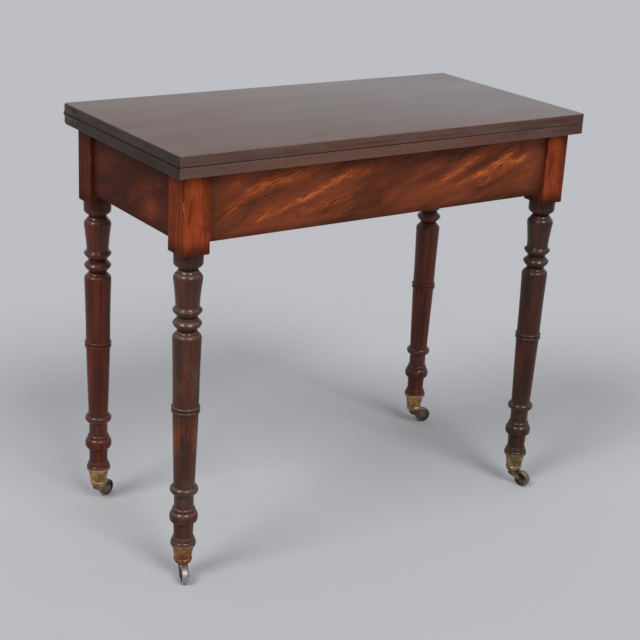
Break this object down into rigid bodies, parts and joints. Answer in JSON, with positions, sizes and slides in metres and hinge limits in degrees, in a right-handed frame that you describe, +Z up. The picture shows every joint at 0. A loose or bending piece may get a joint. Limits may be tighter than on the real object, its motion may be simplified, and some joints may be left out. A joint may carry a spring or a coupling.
{
  "type": "folding card table",
  "caption": "Folding card table on turned legs with castors; its double top swivels a quarter turn on the frame and unfolds to a square playing surface.",
  "frame": {"origin": "on the floor, under the middle of the closed top", "axes": "+X along the front long side towards the right end, +Y towards the rear, +Z up"},
  "size_m": [0.8214, 0.408, 0.74],
  "materials": {
    "leg_mahogany": "polished dark mahogany",
    "frame_mahogany": "polished figured mahogany veneer",
    "top_mahogany": "worn satin polish",
    "carcass_pine": "bare planed pine, darkened",
    "playing_cloth": "felted wool",
    "hinge_brass": "tarnished",
    "cup_brass": "tarnished",
    "castor_bronze": "dark worn",
    "iron": "dark, unpainted"
  },
  "bodies": {
    "frame": {"leg_front_left": "leg_mahogany", "leg_front_right": "leg_mahogany", "leg_rear_left": "leg_mahogany", "leg_rear_right": "leg_mahogany", "castor_cup_front_left": "cup_brass", "castor_cup_front_right": "cup_brass", "castor_cup_rear_left": "cup_brass", "castor_cup_rear_right": "cup_brass", "castor_cup_screws": "iron", "front_rail": "carcass_pine", "rear_rail": "carcass_pine", "left_rail": "carcass_pine", "right_rail": "carcass_pine", "front_veneer": "frame_mahogany", "left_veneer": "frame_mahogany", "right_veneer": "frame_mahogany", "pivot_bearer": "carcass_pine", "bearer_screws": "iron", "well_partition": "carcass_pine", "well_floor": "carcass_pine", "front_well_cleat": "carcass_pine", "rear_well_cleat": "carcass_pine"},
    "lower_top": {"lower_leaf": "top_mahogany", "lower_cloth": "playing_cloth", "pivot_plate": "iron", "pivot_plate_screws": "iron", "pivot_bolt": "iron", "pivot_washer": "iron", "pivot_nut": "iron", "stop_block": "carcass_pine", "stop_block_screw": "iron", "lower_hinge_arm_left": "hinge_brass", "lower_hinge_arm_right": "hinge_brass", "hinge_pin_left": "hinge_brass", "hinge_pin_right": "hinge_brass", "lower_hinge_screws": "hinge_brass"},
    "upper_top": {"upper_leaf": "top_mahogany", "upper_cloth": "playing_cloth", "upper_hinge_arm_left": "hinge_brass", "upper_hinge_arm_right": "hinge_brass", "upper_hinge_screws": "hinge_brass"},
    "fork_front_left": {"castor_fork_front_left": "castor_bronze", "castor_axle_front_left": "castor_bronze"},
    "wheel_front_left": {"castor_wheel_front_left": "castor_bronze"},
    "fork_front_right": {"castor_fork_front_right": "castor_bronze", "castor_axle_front_right": "castor_bronze"},
    "wheel_front_right": {"castor_wheel_front_right": "castor_bronze"},
    "fork_rear_left": {"castor_fork_rear_left": "castor_bronze", "castor_axle_rear_left": "castor_bronze"},
    "wheel_rear_left": {"castor_wheel_rear_left": "castor_bronze"},
    "fork_rear_right": {"castor_fork_rear_right": "castor_bronze", "castor_axle_rear_right": "castor_bronze"},
    "wheel_rear_right": {"castor_wheel_rear_right": "castor_bronze"}
  },
  "joints": [
    {"name": "top_swivel", "type": "hinge", "parent": "frame", "child": "lower_top", "pos_m": [0.101, 0.101, 0.7033], "axis": [0, 0, 1], "range_deg": [0, 90]},
    {"name": "leaf_fold", "type": "hinge", "parent": "lower_top", "child": "upper_top", "pos_m": [0, 0.202, 0.7218], "axis": [-1, 0, 0], "range_deg": [0, 180]},
    {"name": "castor_swivel_front_left", "type": "hinge", "parent": "frame", "child": "fork_front_left", "pos_m": [-0.369, -0.161, 0.029], "axis": [0, 0, 1], "continuous": true},
    {"name": "wheel_spin_front_left", "type": "hinge", "parent": "fork_front_left", "child": "wheel_front_left", "pos_m": [-0.37705, -0.18093, 0.0152], "axis": [0.9272, -0.3746, 0], "continuous": true},
    {"name": "castor_swivel_front_right", "type": "hinge", "parent": "frame", "child": "fork_front_right", "pos_m": [0.369, -0.161, 0.029], "axis": [0, 0, 1], "continuous": true},
    {"name": "wheel_spin_front_right", "type": "hinge", "parent": "fork_front_right", "child": "wheel_front_right", "pos_m": [0.37493, -0.18167, 0.0152], "axis": [0.9613, 0.2756, 0], "continuous": true},
    {"name": "castor_swivel_rear_left", "type": "hinge", "parent": "frame", "child": "fork_rear_left", "pos_m": [-0.369, 0.161, 0.029], "axis": [0, 0, 1], "continuous": true},
    {"name": "wheel_spin_rear_left", "type": "hinge", "parent": "fork_rear_left", "child": "wheel_rear_left", "pos_m": [-0.34936, 0.16974, 0.0152], "axis": [-0.4067, 0.9135, 0], "continuous": true},
    {"name": "castor_swivel_rear_right", "type": "hinge", "parent": "frame", "child": "fork_rear_right", "pos_m": [0.369, 0.161, 0.029], "axis": [0, 0, 1], "continuous": true},
    {"name": "wheel_spin_rear_right", "type": "hinge", "parent": "fork_rear_right", "child": "wheel_rear_right", "pos_m": [0.38977, 0.15544, 0.0152], "axis": [0.2588, 0.9659, 0], "continuous": true}
  ]
}
